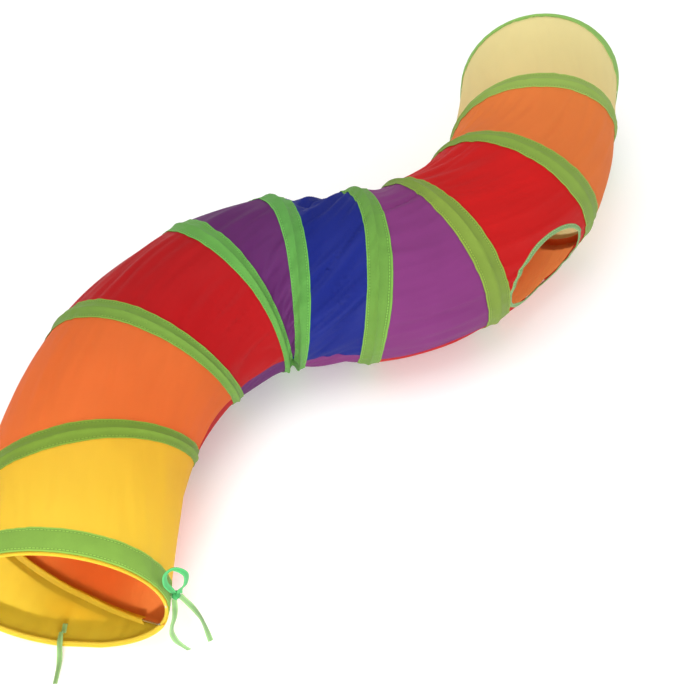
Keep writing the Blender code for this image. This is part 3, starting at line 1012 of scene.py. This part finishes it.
def tape_edges(turn, angle):
    """The tape is narrowed where two turns pinch together, and at the mouths' bindings."""
    middle = coil(turn, angle)
    low = max(middle - TAPE_WIDTH / 2, LIP + TAPE_WIDTH)
    high = min(middle + TAPE_WIDTH / 2, far_rim(angle) - far_binding_width(angle))
    if turn > 1 and angle > turn_span(turn - 1)[0]:
        low = max(low, (middle + coil(turn - 1, angle)) / 2)
    if turn < TURNS and angle < turn_span(turn + 1)[1]:
        high = min(high, (middle + coil(turn + 1, angle)) / 2)
    return low, high


def narrowed_span(turn, shortest=0.004):
    first, last = turn_span(turn)
    while tape_edges(turn, first)[1] - tape_edges(turn, first)[0] < shortest:
        first += 1.0
    while tape_edges(turn, last)[1] - tape_edges(turn, last)[0] < shortest:
        last -= 1.0
    return first, last


def coil_tape(turn):
    first, last = narrowed_span(turn)
    columns = round(math.radians(last - first) * TUBE_RADIUS / TAPE_CELL)

    def place(first_share, second_share):
        angle = first + (last - first) * first_share
        low, high = tape_edges(turn, angle)
        s = low + (high - low) * second_share
        across = s - coil(turn, angle)
        ridge = RIDGE_HEIGHT * math.exp(-((across / RIDGE_HALF_WIDTH) ** 2))
        ripple = 0.0004 * noise.noise(Vector((angle * 0.30, across * 160.0, turn * 5.0)))
        radius = TUBE_RADIUS - cloth_depth_by(turn, s, angle) + TAPE_LIFT + ridge + ripple
        on_map = (second_share - 0.5) * TAPE_WIDTH
        return tube_point(s, angle, radius), (math.radians(angle) * TUBE_RADIUS, on_map)

    bm = grid(columns, TAPE_ROWS, place)
    name = f"coil_tape_turn_{turn}"
    return folding_pieces(
        name, bm, turn, TAPES[turn - 1], "green_tape", TAPE_THICKNESS, name
    )


for turn in range(1, TURNS + 1):
    print("tape", turn, "in", len(coil_tape(turn)), "parts")

# %% [markdown]
# ## The wire in its sleeve
# Inside, the wire runs in a narrow sleeve of the same taffeta. The sleeve shows as a raised
# line round the inner wall, and the wire itself only shows as its shape.

# %% Sleeves and wire
SLEEVE_WIDTH = 0.010
SLEEVE_ROWS = 8
SLEEVE_DEPTH = 0.0066
SLEEVE_THICKNESS = 0.0004
WIRE_SIDES = 8
WIRE_CELL = 0.005


def sleeve(turn):
    first, last = narrowed_span(turn)
    columns = round(math.radians(last - first) * TUBE_RADIUS / TAPE_CELL)

    def place(first_share, second_share):
        angle = first + (last - first) * first_share
        across = (second_share - 0.5) * SLEEVE_WIDTH
        s = coil(turn, angle) + across
        hollow = SLEEVE_DEPTH * math.cos(math.pi * (second_share - 0.5)) ** 1.5
        radius = TUBE_RADIUS - cloth_depth_by(turn, s, angle) - CLOTH_THICKNESS - 0.0003 - hollow
        return tube_point(s, angle, radius), (math.radians(angle) * TUBE_RADIUS, across)

    bm = grid(columns, SLEEVE_ROWS, place)
    colour = COLOURS[turn - 1]
    folding_pieces(
        f"coil_sleeve_turn_{turn}", bm, turn, TAFFETAS[colour], colour + "_cloth", SLEEVE_THICKNESS
    )


def tube_along(points, radius, sides, closed=False):
    """A round tube: a grid rolled up along a path."""
    count = len(points) - 1
    total = length_of(points)

    def place(first, second):
        index = round(first * count)
        before = points[index - 1] if index or not closed else points[-2]
        after = points[(index + 1) % count] if closed else points[min(index + 1, count)]
        if index == 0 and not closed:
            before = points[0]
        along = (after - before).normalized()
        side = along.cross(Vector((0.0, 0.0, 1.0))).normalized()
        up = side.cross(along)
        turn = math.tau * second
        offset = (side * math.cos(turn) + up * math.sin(turn)) * radius
        return points[index] + offset, (first * total, radius * turn)

    bm = grid(count, sides, place)
    bmesh.ops.remove_doubles(bm, verts=bm.verts, dist=1e-5)
    if not closed:
        bmesh.ops.holes_fill(bm, edges=[e for e in bm.edges if e.is_boundary], sides=sides + 2)
    bmesh.ops.recalc_face_normals(bm, faces=bm.faces)
    return bm


def coil_wire(turn):
    """One turn of wire, cut at the fold planes and capped there."""
    first, last = turn_span(turn)
    if turn == 1:
        first += 3.0
    if turn == TURNS:
        last -= 12.0
    steps = round(math.radians(last - first) * TUBE_RADIUS / WIRE_CELL)
    angles = [first + (last - first) * step / steps for step in range(steps + 1)]
    path = [tube_point(coil(turn, a), a, TUBE_RADIUS - WIRE_DEPTH) for a in angles]
    name = f"coil_wire_turn_{turn}"
    whole = tube_along(path, WIRE_RADIUS, WIRE_SIDES)
    for stretch in range(max(1, turn - 1), min(TURNS, turn + 1) + 1):
        part = whole.copy()
        if stretch > max(1, turn - 1):
            cut(part, stretch - 1, keep_beyond=True)
        if stretch < min(TURNS, turn + 1):
            cut(part, stretch, keep_beyond=False)
        if len(part.faces) < 2 * WIRE_SIDES:
            part.free()
            continue
        open_edges = [edge for edge in part.edges if edge.is_boundary]
        bmesh.ops.holes_fill(part, edges=open_edges, sides=WIRE_SIDES + 4)
        bmesh.ops.recalc_face_normals(part, faces=part.faces)
        obj = make_object(name + SUFFIXES[stretch - turn], part, SPRING_STEEL)
        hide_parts(name)
        follow_fold(obj, stretch)
    whole.free()


for turn in range(1, TURNS + 1):
    sleeve(turn)
    coil_wire(turn)
print("sleeves and wire turns", TURNS)

# %% [markdown]
# ## The two mouths
# At each mouth the cloth is hemmed round a closed wire ring, and a crimp joins the ring's
# ends. At the near mouth the green tape sits just behind the hem, so a thin yellow lip shows.
# At the far mouth the tape is rolled right over the rim.

# %% Rings, crimps and hems
HEM_RADIUS = 0.0021
HEM_DEPTH = 0.0027
RING_DEPTH = 0.0024
MOUTH_STEPS = 220


def mouth_loop(s, depth, steps=MOUTH_STEPS):
    angles = [FULL_TURN * step / steps for step in range(steps + 1)]
    return [tube_point(s(angle), angle, TUBE_RADIUS - depth) for angle in angles]


def closed_tube(name, s, depth, radius, sides, material, slot, body, *nodes):
    bm = tube_along(mouth_loop(s, depth), radius, sides, closed=True)
    obj = make_object(name, bm, material)
    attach(obj, body)
    if nodes:
        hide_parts(*nodes)
    return obj


def crimp(name, s, angle, depth, body):
    """A sleeve pinched flat in two places, pushed over the joint in the ring."""
    length, inner, outer = 0.018, WIRE_RADIUS + 0.00015, WIRE_RADIUS + 0.0007
    reach = math.degrees(length / 2 / TUBE_RADIUS)
    steps = 36
    spots = [angle + reach * (2 * step / steps - 1) for step in range(steps + 1)]
    path = [tube_point(s(spot), spot, TUBE_RADIUS - depth) for spot in spots]
    bm = tube_along(path, outer, 24)
    for vert in bm.verts:
        nearest = min(range(len(path)), key=lambda index: (path[index] - vert.co).length)
        share = nearest / steps
        pinch = math.exp(-(((share - 0.28) / 0.07) ** 2)) + math.exp(-(((share - 0.72) / 0.07) ** 2))
        vert.co += (path[nearest] - vert.co).normalized() * (outer - inner) * 0.6 * pinch
    obj = make_object(name + "_pinched", bm, CRIMP_STEEL)
    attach(obj, body)
    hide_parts(name)


def near_line(angle):
    return RING_INSET


def far_line(angle):
    return far_rim(angle) - RING_INSET


for end, line, body, hem, slot, crimp_angle in (
    ("near", near_line, "near_mouth", TAFFETAS["yellow"], "yellow_cloth", 90.0),
    ("far", far_line, "far_mouth", FAR_TAPE, "green_tape", 270.0),
):
    closed_tube(
        f"{end}_mouth_ring", line, RING_DEPTH, WIRE_RADIUS, 12, SPRING_STEEL, "spring_steel", body,
        f"{end}_mouth_wire_ring",
    )
    closed_tube(f"{end}_mouth_hem", line, HEM_DEPTH, HEM_RADIUS, 20, hem, slot, body)
    crimp(f"{end}_ring_ferrule", line, crimp_angle, RING_DEPTH, body)
print("mouths done")


# %% Mouth bindings
def mouth_binding(name, body, material, low, high, depth_at):
    def place(first_share, second_share):
        angle = FULL_TURN * first_share
        s = low(angle) + (high(angle) - low(angle)) * second_share
        bulge = 0.0007 * math.sin(math.pi * second_share)
        ripple = 0.0004 * noise.noise(Vector((angle * 0.25, second_share * 3.0, 4.0)))
        radius = TUBE_RADIUS + TAPE_LIFT + bulge - depth_at(s, angle) + ripple
        around = math.radians(angle) * TUBE_RADIUS
        return tube_point(s, angle, radius), (around, (second_share - 0.5) * TAPE_WIDTH)

    bm = grid(MOUTH_STEPS, 10, place)
    bmesh.ops.remove_doubles(bm, verts=bm.verts, dist=1e-5)
    obj = make_object(name + "_tape", bm, material, TAPE_THICKNESS)
    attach(obj, body)
    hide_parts(name)


def near_depth(s, angle):
    wound = angle if angle >= SEAM_ANGLES[0] else angle + FULL_TURN
    width = above_panel(1, wound)
    return sag_depth(1, wound, s / width, width)


def far_depth(s, angle):
    panel = TURNS + 1 if SEAM_ANGLES[-1] <= angle < FAR_JOIN_ANGLE else TURNS
    wound = angle + FULL_TURN if angle < SEAM_ANGLES[-1] else angle
    low, high = below_panel(panel, wound), above_panel(panel, wound)
    return sag_depth(panel, wound, (s - low) / (high - low), high - low)


mouth_binding(
    "near_mouth_binding", "near_mouth", NEAR_TAPE,
    lambda angle: LIP, lambda angle: LIP + TAPE_WIDTH, near_depth,
)
mouth_binding(
    "far_mouth_binding", "far_mouth", FAR_TAPE,
    lambda angle: far_rim(angle) - far_binding_width(angle), far_rim, far_depth,
)

# %% [markdown]
# ## Peephole binding
# A narrow tape is folded over the cut edge. In section it is a flattened oval, swept once
# round the hole and lying on the cloth's own curve.

# %% Peephole binding
BINDING_STEPS = 140
BINDING_SIDES = 14
BINDING_HALF_WIDTH = 0.0034
BINDING_HALF_THICKNESS = 0.0011
BINDING_INSET = 0.0020


def peephole_binding():
    def place(first_share, second_share):
        turn, section = math.tau * first_share, math.tau * second_share
        across = BINDING_HALF_WIDTH * math.cos(section)
        inset = BINDING_INSET + across
        forward = math.cos(turn) * (1 - inset / PEEPHOLE_HALF_LENGTH)
        upward = math.sin(turn) * (1 - inset / PEEPHOLE_HALF_HEIGHT)
        ripple = 0.0004 * noise.noise(Vector((turn * 9.0, 0.0, 2.0)))
        lift = BINDING_HALF_THICKNESS * math.sin(section) + ripple
        around = turn * (PEEPHOLE_HALF_LENGTH + PEEPHOLE_HALF_HEIGHT) / 2
        return on_cloth(*from_oval(forward, upward), lift), (around, across)

    bm = grid(BINDING_STEPS, BINDING_SIDES, place)
    bmesh.ops.remove_doubles(bm, verts=bm.verts, dist=1e-5)
    bmesh.ops.recalc_face_normals(bm, faces=bm.faces)
    obj = make_object("peephole_binding_tape", bm, PEEPHOLE_TAPE)
    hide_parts("peephole_binding")
    follow_fold(obj, PEEPHOLE_PANEL)


peephole_binding()


# %% Ribbon tabs
SIDE_TAB_ANGLE = 90.0
SIDE_TAB_LIFT = 0.0024
FLOOR_TAB_ANGLE = 191.0
FLOOR_TAB_DEPTH = 0.0085


def tie_tab(name, middle, radius):
    """A doubled end of ribbon, sewn down, with its free edge lifting a little."""
    low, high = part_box(name)
    start, end = low.y - MOUTH.y, high.y - MOUTH.y
    half = math.degrees(RIBBON_WIDTH / 2 / TUBE_RADIUS)

    def place(first_share, second_share):
        angle = middle + half * (2 * first_share - 1)
        s = start + (end - start) * second_share
        lift = 0.0006 * (1 - second_share) ** 2 * math.sin(math.pi * first_share)
        across = (first_share - 0.5) * RIBBON_WIDTH
        return tube_point(s, angle, radius + lift), (s, across)

    bm = grid(10, 14, place)
    obj = make_object(name + "_ribbon", bm, RIBBON, 0.0009)
    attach(obj, "near_mouth")
    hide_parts(name)


tie_tab("tie_tab_side", SIDE_TAB_ANGLE, TUBE_RADIUS + SIDE_TAB_LIFT)
tie_tab("tie_tab_floor", FLOOR_TAB_ANGLE, TUBE_RADIUS - FLOOR_TAB_DEPTH)
print("tabs sewn")

# %% [markdown]
# ## Stage
# A plain pale floor and soft light from a large panel overhead, a smaller one at the side and
# one low in front of the near mouth, with a bright world, so that shadows are faint.


# %% Floor and lights
def floor():
    bm = bmesh.new()
    bmesh.ops.create_grid(bm, x_segments=1, y_segments=1, size=6.0)
    finish = Finish("pale_floor")
    patches = finish.clouds(3.0)
    finish.set(Base_Color=finish.mix(patches, (0.90, 0.90, 0.90, 1), (0.93, 0.93, 0.93, 1)))
    finish.set(Roughness=0.9, Emission_Color=(1.0, 1.0, 1.0, 1.0), Emission_Strength=0.14)
    mesh = bpy.data.meshes.new("floor")
    bm.to_mesh(mesh)
    bm.free()
    mesh.materials.append(finish.material)
    obj = bpy.data.objects.new("floor", mesh)
    bpy.context.scene.collection.objects.link(obj)
    obj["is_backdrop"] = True


def soft_panel(name, place, target, size, power):
    light = bpy.data.lights.new(name, "AREA")
    light.shape = "DISK"
    light.size = size
    light.energy = power
    obj = bpy.data.objects.new(name, light)
    obj.location = place
    obj.rotation_euler = (Vector(target) - Vector(place)).to_track_quat("-Z", "Y").to_euler()
    bpy.context.scene.collection.objects.link(obj)


floor()
soft_panel("overhead_panel", (-0.5, -0.2, 2.6), (0.0, 0.0, 0.0), 1.8, 26.0)
soft_panel("side_panel", (2.0, -1.6, 1.8), (0.0, 0.0, 0.1), 1.2, 8.0)
soft_panel("mouth_panel", MOUTH + Vector((0.1, -0.9, 0.45)), MOUTH + Vector((0, 0.1, 0.1)), 0.5, 11.0)
world = bpy.data.worlds.new("bright_room")
world.use_nodes = True
world.node_tree.nodes["Background"].inputs["Color"].default_value = (1.0, 1.0, 1.0, 1.0)
world.node_tree.nodes["Background"].inputs["Strength"].default_value = 0.75
bpy.context.scene.world = world
bpy.context.scene.view_settings.view_transform = "Standard"

# %% Size of the look beside the frame's
look_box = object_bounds()
for low, high, ours, theirs in zip(*frame_box, *look_box):
    print("frame", round(low, 4), round(high, 4), "look", round(ours, 4), round(theirs, 4))
